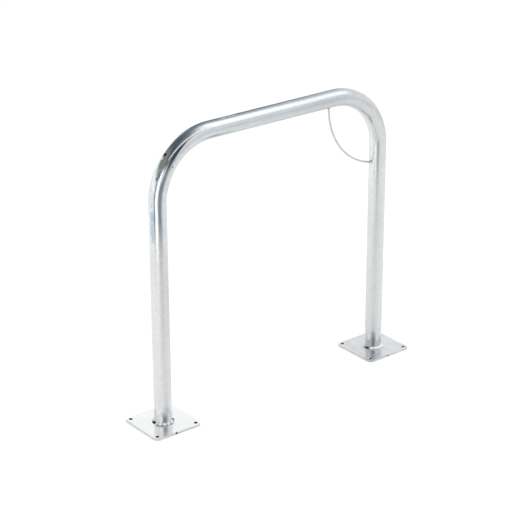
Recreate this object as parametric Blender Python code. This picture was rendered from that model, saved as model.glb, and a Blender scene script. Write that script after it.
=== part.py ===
"""Hoop bike stand: a bent steel tube on two welded base plates, with a rod eye across one corner.

Metres, +Z up. The hoop stands in the X-Z plane, its rail along X, and the origin is on the ground
midway between the legs. Everything is hot-dip galvanised steel and welded, so nothing moves.
"""

import math

import bmesh
import bpy
from mathutils import Matrix, Vector

# Hoop tube
TUBE_DIAMETER = 0.0483
TUBE_WALL = 0.0032
LEG_CENTRES = 0.750
OVERALL_HEIGHT = 0.820
BEND_RADIUS = 0.165
TUBE_SIDES = 40
BEND_STEPS = 18

# Vent hole, drilled in the outside of the left bend for galvanising
VENT_DIAMETER = 0.007
VENT_BEND_ANGLE = math.radians(43)

# Base plates
PLATE_SIZE = 0.150
PLATE_THICKNESS = 0.006
PLATE_CORNER_RADIUS = 0.012
PLATE_EDGE_ROUNDING = 0.0006
ANCHOR_HOLE_DIAMETER = 0.010
ANCHOR_EDGE_DISTANCE = 0.0125
NICK_RADIUS = 0.0018
NICK_OFFSET = 0.009

# Drain slot, cut through the plate under the tube so that both its ends show
SLOT_WIDTH = 0.016
SLOT_OVERHANG = 0.006
SLOT_CORNER_RADIUS = 0.003
LEFT_SLOT_TURN = math.radians(-17)
RIGHT_SLOT_TURN = math.radians(6)

# Fillet beads at the feet
FOOT_WELD_LEG = 0.006
FOOT_WELD_BULGE = 0.0007
FOOT_WELD_END_GAP = 0.001
FOOT_WELD_RIPPLE = 0.0002
FOOT_WELD_PITCH = 0.0035
FOOT_WELD_END_SHARE = 0.45

# Locking loop, a rod bent to one arc across the right corner
ROD_DIAMETER = 0.006
LOOP_RAIL_SETBACK = 0.016
LOOP_LEG_SETBACK = 0.050
ROD_SIDES = 16
ROD_STEPS = 26
LOOP_WELD_LEG = 0.0032
LOOP_WELD_BULGE = 0.0004

# Flat sides that stand for a round shape, and steps along a rounded corner or a bead
DRILL_SIDES = 24
NICK_SIDES = 12
COPE_SIDES = 64
PLATE_CORNER_STEPS = 8
SLOT_CORNER_STEPS = 3
FOOT_WELD_FACE_STEPS = 6
FOOT_WELD_STEPS_PER_RIPPLE = 4
LOOP_WELD_FACE_STEPS = 4
LOOP_WELD_SIDES = 24

# Clearance between neighbouring solids
TOUCH_GAP = 0.0003

# How far a cutter, or an end that is cut back, runs past the surface that it meets
PAST = 0.004

# Worked out from the sizes above
TUBE_RADIUS = TUBE_DIAMETER / 2
ROD_RADIUS = ROD_DIAMETER / 2
LEG_X = LEG_CENTRES / 2
RAIL_Z = OVERALL_HEIGHT - TUBE_RADIUS
BEND_START_Z = RAIL_Z - BEND_RADIUS
FOOT_Z = PLATE_THICKNESS + TOUCH_GAP

# Zinc colour, and the shade and roughness of each finish
ZINC = (0.60, 0.615, 0.62)
TUBE_FINISH = (1.0, 0.32)
PLATE_FINISH = (1.05, 0.38)
ROD_FINISH = (0.92, 0.42)
WELD_FINISH = (1.1, 0.36)


def clear_scene():
    for old in list(bpy.data.objects):
        bpy.data.objects.remove(old, do_unlink=True)


def zinc_material(name, shade, roughness):
    """Galvanised steel, shaded lighter or darker than plain zinc."""
    material = bpy.data.materials.new(name)
    material.use_nodes = True
    shader = material.node_tree.nodes["Principled BSDF"]
    shader.inputs["Base Color"].default_value = tuple(c * shade for c in ZINC) + (1.0,)
    shader.inputs["Roughness"].default_value = roughness
    shader.inputs["Metallic"].default_value = 0.9
    return material


def make_object(name, bm, finish=None, parent=None):
    """Turns a bmesh into an object with its own zinc, its faces outwards and shaded smooth."""
    bmesh.ops.recalc_face_normals(bm, faces=bm.faces)
    mesh = bpy.data.meshes.new(name)
    bm.to_mesh(mesh)
    bm.free()
    mesh.shade_smooth()
    mesh.set_sharp_from_angle(angle=math.radians(40))
    if finish:
        mesh.materials.append(zinc_material(name + "_zinc", *finish))
    item = bpy.data.objects.new(name, mesh)
    bpy.context.scene.collection.objects.link(item)
    item.parent = parent
    return item


def make_empty(name, location):
    empty = bpy.data.objects.new(name, None)
    empty.location = location
    bpy.context.scene.collection.objects.link(empty)
    return empty


def as_cutter(item):
    item.hide_render = True
    item.display_type = "WIRE"
    return item


def cut(item, cutter):
    """Takes the cutter's shape away from the item."""
    modifier = item.modifiers.new("cut_" + cutter.name, "BOOLEAN")
    modifier.operation = "DIFFERENCE"
    modifier.solver = "EXACT"
    modifier.object = cutter


def round_bar(bm, radius, sides, start, end):
    """A straight capped cylinder between two points."""
    start, end = Vector(start), Vector(end)
    along = end - start
    turn = along.to_track_quat("Z", "Y").to_matrix().to_4x4()
    place = Matrix.Translation((start + end) / 2) @ turn
    bmesh.ops.create_cone(bm, cap_ends=True, segments=sides, radius1=radius, radius2=radius,
                          depth=along.length, matrix=place)


def edges_of(geometry):
    return [g for g in geometry if isinstance(g, bmesh.types.BMEdge)]


def push_loop(bm, loop, shift):
    """Extrudes an edge loop along a straight run and returns the new loop."""
    grown = bmesh.ops.extrude_edge_only(bm, edges=loop)["geom"]
    corners = [g for g in grown if isinstance(g, bmesh.types.BMVert)]
    bmesh.ops.translate(bm, verts=corners, vec=shift)
    return edges_of(grown)


def bend_loop(bm, loop, centre, angle, steps):
    """Spins an edge loop about a line along Y and returns the loop at the far end."""
    spun = bmesh.ops.spin(bm, geom=loop, cent=centre, axis=(0, 1, 0), angle=angle, steps=steps)
    return edges_of(spun["geom_last"])


def start_loop(bm, radius, sides, place):
    """A ring of edges, as the mouth that a tube or rod grows from."""
    made = bmesh.ops.create_circle(bm, cap_ends=False, segments=sides, radius=radius, matrix=place)
    return list({edge for corner in made["verts"] for edge in corner.link_edges})


def vent_cutter():
    """A drill through the outer wall of the left bend, pointing at the bend's centre."""
    bend_centre = Vector((-LEG_X + BEND_RADIUS, 0, BEND_START_Z))
    outward = Vector((-math.cos(VENT_BEND_ANGLE), 0, math.sin(VENT_BEND_ANGLE)))
    tip = bend_centre + outward * BEND_RADIUS
    bm = bmesh.new()
    round_bar(bm, VENT_DIAMETER / 2, DRILL_SIDES, tip, tip + outward * (TUBE_RADIUS + PAST))
    return as_cutter(make_object("vent_cutter", bm))


def hoop_tube():
    """Leg, bend, rail, bend, leg: one skin grown from the left foot, then given its wall inwards."""
    leg_run = Vector((0, 0, BEND_START_Z - FOOT_Z))
    rail_run = Vector((LEG_CENTRES - 2 * BEND_RADIUS, 0, 0))
    bm = bmesh.new()
    loop = start_loop(bm, TUBE_RADIUS, TUBE_SIDES, Matrix.Translation((-LEG_X, 0, FOOT_Z)))
    loop = push_loop(bm, loop, leg_run)
    loop = bend_loop(bm, loop, (-LEG_X + BEND_RADIUS, 0, BEND_START_Z), math.pi / 2, BEND_STEPS)
    loop = push_loop(bm, loop, rail_run)
    loop = bend_loop(bm, loop, (LEG_X - BEND_RADIUS, 0, BEND_START_Z), math.pi / 2, BEND_STEPS)
    push_loop(bm, loop, -leg_run)
    tube = make_object("hoop_tube", bm, TUBE_FINISH)
    wall = tube.modifiers.new("wall", "SOLIDIFY")
    wall.thickness = TUBE_WALL
    wall.offset = -1
    wall.use_even_offset = True
    cut(tube, vent_cutter())
    return tube


def rounded_outline(bm, length, width, radius, steps, height):
    """A rectangle with rounded corners, as one face centred on the Z axis."""
    corners = []
    for quarter in range(4):
        side_x = 1 if quarter in (0, 3) else -1
        side_y = 1 if quarter in (0, 1) else -1
        for step in range(steps + 1):
            angle = math.pi / 2 * (quarter + step / steps)
            x = side_x * (length / 2 - radius) + radius * math.cos(angle)
            y = side_y * (width / 2 - radius) + radius * math.sin(angle)
            corners.append(bm.verts.new((x, y, height)))
    return bm.faces.new(corners)


def slab(bm, length, width, radius, steps, low, high):
    """The rounded rectangle raised from one height to another."""
    face = rounded_outline(bm, length, width, radius, steps, low)
    grown = bmesh.ops.extrude_face_region(bm, geom=[face])["geom"]
    corners = [g for g in grown if isinstance(g, bmesh.types.BMVert)]
    bmesh.ops.translate(bm, verts=corners, vec=(0, 0, high - low))


def plate_holes_cutter(side, parent):
    """Four anchor drills and the lead-in nick in the front edge, as one cutter."""
    reach = PLATE_SIZE / 2 - ANCHOR_EDGE_DISTANCE
    low, high = -PAST, PLATE_THICKNESS + PAST
    bm = bmesh.new()
    for x in (-reach, reach):
        for y in (-reach, reach):
            round_bar(bm, ANCHOR_HOLE_DIAMETER / 2, DRILL_SIDES, (x, y, low), (x, y, high))
    nick_y = -PLATE_SIZE / 2
    round_bar(bm, NICK_RADIUS, NICK_SIDES, (-NICK_OFFSET, nick_y, low), (-NICK_OFFSET, nick_y, high))
    return as_cutter(make_object(side + "_plate_drills", bm, parent=parent))


def slot_cutter(side, turn, parent):
    """The drain slot, a tube's width and an overhang each side long, turned a little by hand."""
    bm = bmesh.new()
    slab(bm, TUBE_DIAMETER + 2 * SLOT_OVERHANG, SLOT_WIDTH, SLOT_CORNER_RADIUS, SLOT_CORNER_STEPS,
         -PAST, PLATE_THICKNESS + PAST)
    cutter = as_cutter(make_object(side + "_slot_cutter", bm, parent=parent))
    cutter.rotation_euler.z = turn
    return cutter


def base_plate(side, turn, parent):
    """Square plate with rounded corners and softened edges, drilled and slotted."""
    bm = bmesh.new()
    slab(bm, PLATE_SIZE, PLATE_SIZE, PLATE_CORNER_RADIUS, PLATE_CORNER_STEPS, 0, PLATE_THICKNESS)
    plate = make_object(side + "_base_plate", bm, PLATE_FINISH, parent)
    rounding = plate.modifiers.new("edge_rounding", "BEVEL")
    rounding.width = PLATE_EDGE_ROUNDING
    rounding.segments = 2
    rounding.limit_method = "ANGLE"
    rounding.angle_limit = math.radians(60)
    cut(plate, plate_holes_cutter(side, parent))
    cut(plate, slot_cutter(side, turn, parent))
    flatten = plate.modifiers.new("flat_faces", "WEIGHTED_NORMAL")
    flatten.keep_sharp = True
    return plate


def fillet_profile(leg, bulge, steps):
    """Corner, then the bulging face from the plate up to the wall, as (outwards, upwards) pairs."""
    points = [(0.0, 0.0)]
    for step in range(steps + 1):
        along = step / steps
        swell = bulge * math.sin(math.pi * along)
        points.append((leg * (1 - along) + swell, leg * along + swell))
    return points


def foot_weld(name, middle, span, parent):
    """A fillet bead swept round the tube, its section swelling with each ripple and tapered at its ends.

    The taper grows with the square root of the distance from the end, up to the full section at one
    leg length.
    """
    wall = TUBE_RADIUS + TOUCH_GAP
    profile = fillet_profile(FOOT_WELD_LEG, FOOT_WELD_BULGE, FOOT_WELD_FACE_STEPS)
    ripples = max(2, round(span * wall / FOOT_WELD_PITCH))
    stations = ripples * FOOT_WELD_STEPS_PER_RIPPLE
    bm = bmesh.new()
    rings = []
    for station in range(stations + 1):
        along = station / stations
        angle = middle + span * (along - 0.5)
        from_end = min(along, 1 - along) * span * wall
        growth = min(1.0, math.sqrt(from_end / FOOT_WELD_LEG))
        taper = FOOT_WELD_END_SHARE + (1 - FOOT_WELD_END_SHARE) * growth
        wave = 1 - FOOT_WELD_RIPPLE / FOOT_WELD_LEG * math.cos(2 * math.pi * ripples * along)
        size = taper * wave
        ring = []
        for out, up in profile:
            radius = wall + out * size
            place = (radius * math.cos(angle), radius * math.sin(angle), FOOT_Z + up * size)
            ring.append(bm.verts.new(place))
        rings.append(ring)
    count = len(profile)
    for near, far in zip(rings, rings[1:]):
        for i in range(count):
            j = (i + 1) % count
            bm.faces.new((near[i], near[j], far[j], far[i]))
    bm.faces.new(rings[0])
    bm.faces.new(rings[-1])
    return make_object(name, bm, WELD_FINISH, parent)


def foot_welds(side, turn, parent):
    """Front and back beads, which stop short of the slot's ends."""
    wall = TUBE_RADIUS + TOUCH_GAP
    idle = math.asin((SLOT_WIDTH / 2 + FOOT_WELD_END_GAP) / wall)
    span = math.pi - 2 * idle
    foot_weld(side + "_foot_weld_front", turn - math.pi / 2, span, parent)
    foot_weld(side + "_foot_weld_back", turn + math.pi / 2, span, parent)


def loop_arc():
    """Radius and swept angle of the rod's arc, which leaves the rail square and ends at the leg.

    The arc's centre is level with the rail's underside. Its width a and depth b, from the rod's
    start to the leg's inner wall, give the radius (a squared + b squared) / (2 a).
    """
    width = BEND_RADIUS + LOOP_RAIL_SETBACK - TUBE_RADIUS
    depth = BEND_RADIUS + LOOP_LEG_SETBACK - TUBE_RADIUS
    radius = (width ** 2 + depth ** 2) / (2 * width)
    sweep = math.acos((radius - width) / radius)
    return radius, sweep


def loop_rod_mesh(radius):
    """The rod's arc with a short straight run past each end, around the arc's own centre."""
    arc_radius, sweep = loop_arc()
    bm = bmesh.new()
    place = Matrix.Translation((-arc_radius, 0, PAST))
    loop = start_loop(bm, radius, ROD_SIDES, place)
    bmesh.ops.contextual_create(bm, geom=loop)
    loop = push_loop(bm, loop, Vector((0, 0, -PAST)))
    loop = bend_loop(bm, loop, (0, 0, 0), -sweep, ROD_STEPS)
    loop = push_loop(bm, loop, Vector((math.sin(sweep), 0, -math.cos(sweep))) * PAST)
    bmesh.ops.contextual_create(bm, geom=loop)
    return bm


def loop_leg_x():
    """The leg's centreline, measured from the arc's centre."""
    arc_radius, _ = loop_arc()
    return BEND_RADIUS + LOOP_RAIL_SETBACK - arc_radius


def cope_cutters(corner):
    """Rail and leg, fatter by the clearance, to shape what is welded against them."""
    arc_radius, _ = loop_arc()
    reach = 2 * arc_radius
    radius = TUBE_RADIUS + TOUCH_GAP
    bm = bmesh.new()
    round_bar(bm, radius, COPE_SIDES, (-reach, 0, TUBE_RADIUS), (0, 0, TUBE_RADIUS))
    rail = as_cutter(make_object("rail_cope_cutter", bm, parent=corner))
    leg_x = loop_leg_x()
    bm = bmesh.new()
    round_bar(bm, radius, COPE_SIDES, (leg_x, 0, -reach), (leg_x, 0, 0))
    leg = as_cutter(make_object("leg_cope_cutter", bm, parent=corner))
    return rail, leg


def weld_collar(name, place, parent):
    """A small fillet turned round the rod, run on into the tube and the rod to be cut back."""
    profile = fillet_profile(LOOP_WELD_LEG, LOOP_WELD_BULGE, LOOP_WELD_FACE_STEPS)
    inner = ROD_RADIUS / 2
    outline = [(inner, -PAST), (ROD_RADIUS + LOOP_WELD_LEG, -PAST)]
    outline += [(ROD_RADIUS + out, up) for out, up in profile[1:]]
    outline.append((inner, LOOP_WELD_LEG))
    bm = bmesh.new()
    corners = [bm.verts.new((x, 0, z)) for x, z in outline]
    loop = [bm.edges.new(pair) for pair in zip(corners, corners[1:] + corners[:1])]
    bmesh.ops.spin(bm, geom=loop, cent=(0, 0, 0), axis=(0, 0, 1), angle=2 * math.pi,
                   steps=LOOP_WELD_SIDES, use_merge=True)
    collar = make_object(name, bm, WELD_FINISH, parent)
    collar.matrix_local = place
    return collar


def locking_loop():
    """The rod eye and its two welds, coped to the rail and the right leg."""
    arc_radius, sweep = loop_arc()
    corner = make_empty("loop_corner", (LEG_X - loop_leg_x(), 0, RAIL_Z - TUBE_RADIUS))
    rail_cutter, leg_cutter = cope_cutters(corner)
    rod = make_object("locking_loop", loop_rod_mesh(ROD_RADIUS), ROD_FINISH, corner)
    cut(rod, rail_cutter)
    cut(rod, leg_cutter)
    fat_rod = make_object("rod_clearance_cutter", loop_rod_mesh(ROD_RADIUS + TOUCH_GAP), parent=corner)
    as_cutter(fat_rod)
    at_rail = Matrix.Translation((-arc_radius, 0, 0)) @ Matrix.Rotation(math.pi, 4, "X")
    end = Vector((-math.cos(sweep), 0, -math.sin(sweep))) * arc_radius
    away = Vector((-math.sin(sweep), 0, math.cos(sweep)))
    at_leg = Matrix.Translation(end) @ away.to_track_quat("Z", "Y").to_matrix().to_4x4()
    for name, place, tube_cutter in (("loop_rail_weld", at_rail, rail_cutter),
                                     ("loop_leg_weld", at_leg, leg_cutter)):
        collar = weld_collar(name, place, corner)
        cut(collar, tube_cutter)
        cut(collar, fat_rod)


def build():
    clear_scene()
    hoop_tube()
    for side, x, turn in (("left", -LEG_X, LEFT_SLOT_TURN), ("right", LEG_X, RIGHT_SLOT_TURN)):
        foot = make_empty(side + "_foot", (x, 0, 0))
        base_plate(side, turn, foot)
        foot_welds(side, turn, foot)
    locking_loop()


build()
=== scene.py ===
"""Finish, light and camera of a galvanised hoop bike stand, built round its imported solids.

Metres, +Z up. The hoop stands in the X-Z plane with its rail along X, its rod eye is in the corner
at +X, and the camera looks from the front left, above.
"""

import math

import bpy
import numpy as np
from mathutils import Matrix, Vector


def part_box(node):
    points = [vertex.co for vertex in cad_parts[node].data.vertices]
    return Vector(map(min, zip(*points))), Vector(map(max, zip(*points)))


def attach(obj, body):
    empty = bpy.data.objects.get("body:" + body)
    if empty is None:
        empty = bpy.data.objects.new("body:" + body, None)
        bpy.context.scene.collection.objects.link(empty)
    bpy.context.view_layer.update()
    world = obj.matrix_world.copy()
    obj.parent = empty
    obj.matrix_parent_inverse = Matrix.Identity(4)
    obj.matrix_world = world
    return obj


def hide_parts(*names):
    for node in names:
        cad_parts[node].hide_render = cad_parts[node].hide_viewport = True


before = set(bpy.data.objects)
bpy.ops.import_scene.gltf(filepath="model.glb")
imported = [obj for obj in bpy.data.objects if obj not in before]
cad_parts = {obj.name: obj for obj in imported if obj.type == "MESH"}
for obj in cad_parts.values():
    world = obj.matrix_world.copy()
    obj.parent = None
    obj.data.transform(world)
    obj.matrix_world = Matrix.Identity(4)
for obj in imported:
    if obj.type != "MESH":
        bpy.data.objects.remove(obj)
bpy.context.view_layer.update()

# Sizes read from the frame
tube_low, tube_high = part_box("hoop_tube")
plate_low, plate_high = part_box("left_base_plate")
rod_low, rod_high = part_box("locking_loop")
TUBE_RADIUS = (tube_high.y - tube_low.y) / 2
LEG_X = tube_high.x - TUBE_RADIUS
RAIL_Z = tube_high.z - TUBE_RADIUS
FOOT_Z = tube_low.z
PLATE_TOP = plate_high.z
PLATE_HALF = (plate_high.x - plate_low.x) / 2
ROD_RADIUS = (rod_high.y - rod_low.y) / 2

# Tube
TUBE_WALL = 0.0032
BEND_RADIUS = 0.165
TUBE_SIDES = 80
LEG_ROW = 0.008
BEND_ROW = 0.0021
VENT_RADIUS = 0.0035
VENT_BEND_ANGLE = math.radians(43)
VENT_RIM = 0.0005
VENT_SHOULDER = 0.3 * VENT_RIM
VENT_PATCH = 4

# Runs of the hoop's centreline, from the left foot to the right one
LEG_RUN = RAIL_Z - BEND_RADIUS - FOOT_Z
BEND_RUN = BEND_RADIUS * math.pi / 2
RAIL_RUN = 2 * (LEG_X - BEND_RADIUS)
RAIL_START = LEG_RUN + BEND_RUN
RAIL_END = RAIL_START + RAIL_RUN
RIGHT_LEG_TOP = RAIL_END + BEND_RUN
WHOLE_RUN = RIGHT_LEG_TOP + LEG_RUN

# Zinc pimple on the front of the left bend; its first ring and its root are shares of its radius
PIMPLE_BEND_ANGLE = math.radians(37)
PIMPLE_AROUND = math.radians(88)
PIMPLE_RADIUS = 0.0022
PIMPLE_RISE = 0.0009
PIMPLE_SIDES = 24
PIMPLE_RINGS = 9
PIMPLE_FIRST_RING = 0.08
PIMPLE_ROOT = 0.9

# Marks on the tube's skin: run length, angle from the hoop's outer side to the front, width, length
VENT_RUN = LEG_RUN + BEND_RADIUS * VENT_BEND_ANGLE
# The next mark is painted shade: a black ring round the vent that widens the hole's dark
VENT_PAINTED_SHADE = (VENT_RUN, math.radians(4), 0.0096, 0.0096)
SPLASH = (VENT_RUN - 0.0110, math.radians(-2), 0.0060, 0.0060)
FLUX = (0.700, math.radians(27), 0.0090, 0.0300)
SPECK = (0.979, math.radians(4), 0.0080, 0.0065)
SCUFF = (0.949, math.radians(8), 0.0110, 0.0560)
STAIN = (0.579, math.radians(19), 0.0130, 0.1000)
MARK_SOFTNESS = 0.2

# The tube's coat: between the two run lengths of a pair, one look goes over into the next
LEFT_LEG_BRIGHTENS = (0.44, 0.62)
RAIL_TURNS_SATIN = (RAIL_START - 0.08, RAIL_END)
RAIL_CLEARS = (RAIL_START - 0.10, RAIL_START + 0.06)
RIGHT_LEG_PALES = (RAIL_END + 0.24, RAIL_END)

# The same, counted from the right foot, from either foot and from the tube's centreline
RIGHT_LEG_BRIGHTENS = (0.38, 0.64)
FOOT_BRIGHTENS = (0.080, 0.022)
# Inside its wall the tube is painted black, as shade in its bore
BORE_PAINTED_SHADE = (TUBE_RADIUS - 0.0001, TUBE_RADIUS - 0.0005)

# Plates; the holes' reach and the nick's offset are counted from a plate's centre
PLATE_CORNER_RADIUS = 0.012
HOLE_REACH = 0.0625
NICK_OFFSET = 0.009

# Rims of zinc round the anchor holes: distance from the hole's axis and height over the plate,
# listed in millimetres
RIM_SECTION = np.array([(4.90, -2.5), (5.60, -2.5), (6.60, -0.40), (6.45, 0.02), (6.10, 0.22),
                        (5.70, 0.33), (5.30, 0.30), (5.02, 0.10), (4.90, -0.30)]) / 1000
RIM_SIDES = 64

# The plates' coat: an edge is two radii or heights, between which the look of a part sets in
HOLE_EDGE = (0.0085, 0.0065)
SLOT_EDGE = (0.036, 0.033)
NICK_EDGE = (0.0030, 0.0022)
SIDE_EDGE = (PLATE_TOP - 0.0003, PLATE_TOP - 0.0010)
RIM_BORE_SHADE_EDGE = (PLATE_TOP + 0.0001, PLATE_TOP - 0.0006)
# The dark of hole and slot walls, rim bores and the floor under the plates is painted shade
PAINTED_HOLLOW_SHADE = (0.05, 0.05, 0.05, 1)

# Foot beads. Each drift is a height as a share of the bead's size, radians per metre and a start
SLOT_WIDTH = 0.016
LEFT_SLOT_TURN = math.radians(-17)
RIGHT_SLOT_TURN = math.radians(6)
BEAD_REACH = 0.0064
BEAD_RISE = 0.0058
BEAD_END_GAP = 0.0006
BEAD_NOSE = 0.35
BEAD_ROOT = 0.0012
BEAD_TUCK = 0.16
BEAD_TUCK_SHARE = 0.2
BEAD_ROUNDNESS = 1.35
BEAD_ROWS = 320
BEAD_FACE = 18
BEAD_DRIFT = ((0.05, 420, 1), (0.04, 1130, 0))
LEFT_SWELL = 0.20
RIGHT_SWELL = 0.06
FIRST_LUMP = math.radians(189.5)
LUMP_TURN = math.radians(25.6)
RIPPLE_PITCH = 0.0024
RIPPLE_DEPTH = 0.00035
RIPPLE_CRESCENT = 0.0016

# Rod eye: one arc from the rail's underside to the leg's inner side. Each wave of its zinc is a
# height as a share of the radius, swings in a whole turn of the arc and of the rod, and a start
LOOP_RAIL_SETBACK = 0.016
LOOP_LEG_SETBACK = 0.050
ROD_RUN_IN = 0.0012
ROD_COAT_SHARE = 0.985
ROD_WAVES = ((0.012, 31, 0, 0), (0.010, 83, 1, 0), (0.008, 190, 0, 2))
ROD_SIDES = 32
ROD_ROWS = 140

# Collars of weld at the rod's ends
COLLAR_LEG = 0.0030
COLLAR_INNER = 0.0022
COLLAR_SWELL = 0.20
COLLAR_RIPPLE = 0.09
COLLAR_ROUNDNESS = 1.5
COLLAR_SIDES = 72
COLLAR_FACE = 10

# Faces that meet at more than this keep a hard edge
SHARP_ANGLE = math.radians(50)

# Camera, placed from the photograph's tube edges and plate holes
CAMERA_PLACE = (-2.8053, -3.5236, 2.3023)
CAMERA_PAN = math.radians(37.956)
CAMERA_PITCH = math.radians(23.024)
CAMERA_ROLL = math.radians(-0.208)
CAMERA_REACH = 100
SENSOR = 36.0
PICTURE_SIDE = 512
FOCAL_PIXELS = 1797.5

# Floor: painted shade under the plates, and a painted shadow before each foot for mirrored light
FLOOR_HALF = 30
FLOOR_DROP = 0.0005
PLATE_SHADE_EDGE = (PLATE_CORNER_RADIUS - 0.004, PLATE_CORNER_RADIUS - 0.001)
LEFT_PAINTED_SHADOW = (-0.357, -0.110, 0)
RIGHT_PAINTED_SHADOW = (0.299, -0.095, 0)
LEFT_SHADOW_EDGE = (0.12, 0.02)
RIGHT_SHADOW_EDGE = (0.10, 0.02)
LEFT_SHADOW_SHARE = 0.55

# The room's dome, and the small cards before the feet
DOME_RADIUS = 3.4
DOME_SIDES = 64
DOME_RINGS = 17
FOOT_CARD_DISTANCE = 0.305
FOOT_CARD_HEIGHT = 0.118
FOOT_CARD_LENGTH = 0.228
FOOT_CARD_FADES = (0.81, 0.48)


def grid_quads(rows, columns):
    """Corner numbers of the quads between neighbouring rows of points, where each row is a ring."""
    row, column = np.meshgrid(np.arange(rows - 1), np.arange(columns), indexing="ij")
    beside = (column + 1) % columns
    here, above = row * columns, (row + 1) * columns
    corners = (here + column, here + beside, above + beside, above + column)
    return np.stack(corners, axis=-1).reshape(-1, 4)


def band(ring, inner):
    """Quads between two rings of point numbers of the same length."""
    return np.stack([ring, np.roll(ring, -1), np.roll(inner, -1), inner], axis=-1)


def mesh_piece(name, points, quads, triangles=None, straightened=None):
    """Turns arrays of points and corner numbers into a smooth mesh that rides on the stand.

    Straightened gives each point three values for the piece's material to read.
    """
    loops = [quads.ravel()]
    sizes = [np.full(len(quads), 4)]
    if triangles is not None:
        loops.append(triangles.ravel())
        sizes.append(np.full(len(triangles), 3))
    loops, sizes = np.concatenate(loops), np.concatenate(sizes)
    mesh = bpy.data.meshes.new(name)
    mesh.vertices.add(len(points))
    mesh.vertices.foreach_set("co", np.ascontiguousarray(points, np.float32).ravel())
    mesh.loops.add(len(loops))
    mesh.loops.foreach_set("vertex_index", loops.astype(np.int32))
    mesh.polygons.add(len(sizes))
    mesh.polygons.foreach_set("loop_start", (np.cumsum(sizes) - sizes).astype(np.int32))
    mesh.update(calc_edges=True)
    mesh.validate()
    if straightened is not None:
        layer = mesh.attributes.new("straightened", "FLOAT_VECTOR", "POINT")
        layer.data.foreach_set("vector", np.ascontiguousarray(straightened, np.float32).ravel())
    mesh.shade_smooth()
    mesh.set_sharp_from_angle(angle=SHARP_ANGLE)
    piece = bpy.data.objects.new(name, mesh)
    bpy.context.scene.collection.objects.link(piece)
    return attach(piece, "root")


def with_ends(rings):
    """The points of rows of rings, with the middles of the first and the last ring put last."""
    ends = np.stack([rings[0].mean(axis=0), rings[-1].mean(axis=0)])
    return np.concatenate([rings.reshape(-1, 3), ends])


def closed_sweep(name, rings, straightened=None):
    """A bar-like skin through rows of rings, each end drawn together at one middle point."""
    rows, columns = rings.shape[:2]
    places = None if straightened is None else with_ends(straightened)
    first_end, last_end = rows * columns, rows * columns + 1
    column = np.arange(columns)
    beside = (column + 1) % columns
    last = (rows - 1) * columns
    start = np.stack([np.full(columns, first_end), beside, column], axis=-1)
    finish = np.stack([np.full(columns, last_end), last + column, last + beside], axis=-1)
    ends = np.concatenate([start, finish])
    return mesh_piece(name, with_ends(rings), grid_quads(rows, columns), ends, straightened=places)


def ring_sweep(name, rings):
    """A skin through sets of rings, where the last ring of each set joins its first."""
    count, rows, columns = rings.shape[:3]
    closing = band(np.arange(columns) + (rows - 1) * columns, np.arange(columns))
    quads = np.concatenate([grid_quads(rows, columns), closing])
    shifted = quads[None] + (np.arange(count) * rows * columns)[:, None, None]
    return mesh_piece(name, rings.reshape(-1, 3), shifted.reshape(-1, 4))


def hoop_path(along):
    """Centreline point and outward direction of the hoop, for run lengths from the left foot.

    The turn grows from zero to a half turn over the two bends and holds between them. Outward is
    (-cos turn, 0, sin turn), and a point is its bend's centre plus the bend radius outward. The
    centre climbs with the left leg, goes along with the rail and sinks with the right leg.
    """
    bent = np.clip(along - LEG_RUN, 0, BEND_RUN) + np.clip(along - RAIL_END, 0, BEND_RUN)
    turn = bent / BEND_RADIUS
    outward = np.stack([-np.cos(turn), np.zeros_like(turn), np.sin(turn)], axis=-1)
    across = np.clip(along - RAIL_START, 0, RAIL_RUN)
    climb = np.clip(along, 0, LEG_RUN) - np.clip(along - RIGHT_LEG_TOP, 0, LEG_RUN)
    centre = np.stack([BEND_RADIUS - LEG_X + across, np.zeros_like(turn), FOOT_Z + climb], axis=-1)
    return centre + BEND_RADIUS * outward, outward


def tube_point(along, around, depth):
    """Points of the tube's wall and their places on the tube as if it were straightened out.

    Around is the angle from the hoop's outer side towards its front, and depth goes inwards from
    the outer skin: point = centreline + (radius - depth) (cos around outward + sin around front).
    """
    centre, outward = hoop_path(along)
    radius = TUBE_RADIUS - depth
    out, front = radius * np.cos(around), radius * np.sin(around)
    point = centre + out[..., None] * outward - front[..., None] * np.array([0.0, 1.0, 0.0])
    return point, np.stack([out, front, along], axis=-1)


def tube_rows():
    """Run lengths of the tube's rings: far apart on straight runs, close in the bends.

    The left bend's rings are counted both ways from the vent, so that the vent's patch is square.
    """
    below = np.arange(VENT_RUN, LEG_RUN, -BEND_ROW)[::-1]
    above = np.arange(VENT_RUN + BEND_ROW, RAIL_START, BEND_ROW)
    straight = [np.linspace(start, end, round((end - start) / LEG_ROW), endpoint=False)
                for start, end in ((0, below[0]), (RAIL_START, RAIL_END))]
    right_bend = np.linspace(RAIL_END, RIGHT_LEG_TOP, len(below) + len(above), endpoint=False)
    right_leg = np.linspace(RIGHT_LEG_TOP, WHOLE_RUN, round(LEG_RUN / LEG_ROW))
    rows = np.concatenate([straight[0], below, above, straight[1], right_bend, right_leg])
    return rows, len(straight[0]) + len(below) - 1


def window_ring(row, column):
    """Grid steps round the square window of the vent's patch, once round."""
    side = np.arange(-VENT_PATCH, VENT_PATCH)
    edge = np.full(2 * VENT_PATCH, VENT_PATCH)
    steps_up = np.concatenate([side, edge, -side, -edge])
    steps_round = np.concatenate([-edge, side, edge, -side])
    return (row + steps_up) * TUBE_SIDES + column + steps_round


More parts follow.
